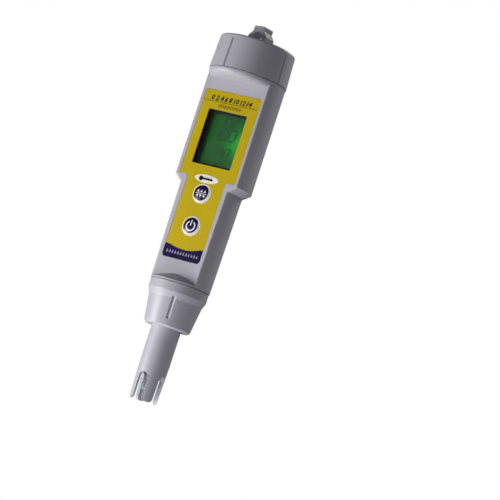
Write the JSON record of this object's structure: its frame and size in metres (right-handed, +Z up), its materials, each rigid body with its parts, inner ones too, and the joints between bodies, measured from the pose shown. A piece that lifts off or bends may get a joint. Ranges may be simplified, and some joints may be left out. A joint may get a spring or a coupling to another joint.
{
  "type": "ph tester pen",
  "caption": "Pocket water tester with a flat front, display, push buttons, screwed battery cap with a lanyard eye and a plug-in electrode in a slotted guard.",
  "frame": {"origin": "centre of the lanyard eye on the battery cap", "axes": "+Z up along the body, from the electrode towards the lanyard eye; -Y out of the flat front; +X to the right seen from the front"},
  "size_m": [0.038, 0.038, 0.1852],
  "materials": {
    "housing_plastic": "fine satin moulding",
    "cap_plastic": "fine satin moulding",
    "label_film": "semi-gloss printed film",
    "clear_window": "clear polished",
    "black_plastic": "matt black",
    "display_glass": "polarised glass",
    "light_guide": "frosted clear",
    "contact_rubber": "striped silicone",
    "board_laminate": "green solder mask",
    "button_rubber": "satin silicone",
    "seal_rubber": "black silicone",
    "holder_plastic": "satin moulding",
    "cell_steel": "bright stainless",
    "contact_metal": "gold plated",
    "sensor_glass": "thin clear glass",
    "silver": "chlorided silver",
    "potting_resin": "cast resin",
    "junction_ceramic": "porous ceramic"
  },
  "bodies": {
    "housing": {"main_housing": "housing_plastic", "label_overlay": "label_film", "display_window": "clear_window", "display_bezel": "black_plastic", "lcd_panel": "display_glass", "lcd_backlight": "light_guide", "backlight_led": "light_guide", "contact_strips": "contact_rubber", "circuit_board": "board_laminate", "controller_chip": "black_plastic", "amplifier_chip": "black_plastic", "clock_crystal": "cell_steel", "board_passives": "board_laminate", "mode_boot": "seal_rubber", "power_boot": "seal_rubber", "mode_switch": "black_plastic", "power_switch": "black_plastic", "battery_holder": "holder_plastic", "battery_cells": "cell_steel", "negative_contact": "contact_metal", "positive_contact": "contact_metal", "cap_seal": "seal_rubber", "electrode_socket": "black_plastic", "socket_leads": "contact_metal"},
    "mode_button": {"mode_button": "button_rubber"},
    "power_button": {"power_button": "button_rubber"},
    "cap_contact": {"cap_contact": "cell_steel"},
    "cap": {"battery_cap": "cap_plastic"},
    "electrode": {"electrode_body": "cap_plastic", "electrode_seal": "seal_rubber", "electrode_plug": "black_plastic", "plug_pins": "contact_metal", "sensor_potting": "potting_resin", "glass_bulb": "sensor_glass", "silver_wire": "silver", "reference_wire": "silver", "reference_junction": "junction_ceramic", "temperature_probe": "cell_steel"},
    "collar": {"electrode_collar": "cap_plastic"}
  },
  "joints": [
    {"name": "mode_button_press", "type": "slide", "parent": "housing", "child": "mode_button", "axis": [0, 1, 0], "range_m": [0, 0.0005], "stiffness_N_per_m": 800},
    {"name": "power_button_press", "type": "slide", "parent": "housing", "child": "power_button", "axis": [0, 1, 0], "range_m": [0, 0.0005], "stiffness_N_per_m": 800},
    {"name": "cap_lift", "type": "slide", "parent": "housing", "child": "cap_contact", "axis": [0, 0, 1], "range_m": [0, 0.00901]},
    {"name": "cap_turn", "type": "hinge", "parent": "cap_contact", "child": "cap", "pos_m": [0, 0, -0.0115], "axis": [0, 0, 1], "range_deg": [0, 1080]},
    {"name": "electrode_draw", "type": "slide", "parent": "housing", "child": "electrode", "axis": [0, 0, -1], "range_m": [0, 0.00901]},
    {"name": "collar_turn", "type": "hinge", "parent": "electrode", "child": "collar", "pos_m": [0, 0, -0.133], "axis": [0, 0, -1], "range_deg": [0, 1080]}
  ],
  "couplings": [
    {"joint": "cap_lift", "follows": "cap_turn", "m_per_rad": 0.00047746},
    {"joint": "electrode_draw", "follows": "collar_turn", "m_per_rad": 0.00047746}
  ]
}
